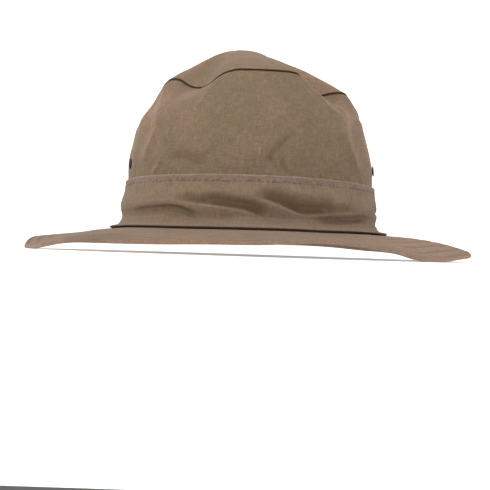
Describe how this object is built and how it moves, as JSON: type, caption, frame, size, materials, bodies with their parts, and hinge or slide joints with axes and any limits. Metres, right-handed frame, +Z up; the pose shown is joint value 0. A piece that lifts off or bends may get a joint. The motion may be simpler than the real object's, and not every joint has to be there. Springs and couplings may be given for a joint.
{
  "type": "safari hat",
  "caption": "Soft cotton safari hat: a tall crown with a dented oval top, a wide self-cloth band, a broad brim and metal vent eyelets at the sides, resting on its brim.",
  "frame": {"origin": "centre of the hat's footprint, on the surface that its brim rests on", "axes": "+Z up through the crown, the front of the hat faces -Y, +X is on the left of whoever wears it"},
  "size_m": [0.3074, 0.33, 0.1456],
  "materials": {
    "crown_cotton": "fine khaki cotton twill, matt",
    "band_cotton": "the same cotton, slack and stitched",
    "brim_cotton": "the same cotton, quilted with rows of stitches",
    "eyelet_metal": "dark bronzed metal, satin"
  },
  "bodies": {
    "root": {"crown_side": "crown_cotton", "crown_tip": "crown_cotton", "band": "band_cotton", "brim": "brim_cotton", "eyelet_left_front": "eyelet_metal", "eyelet_left_rear": "eyelet_metal", "eyelet_right_front": "eyelet_metal", "eyelet_right_rear": "eyelet_metal"}
  },
  "joints": []
}
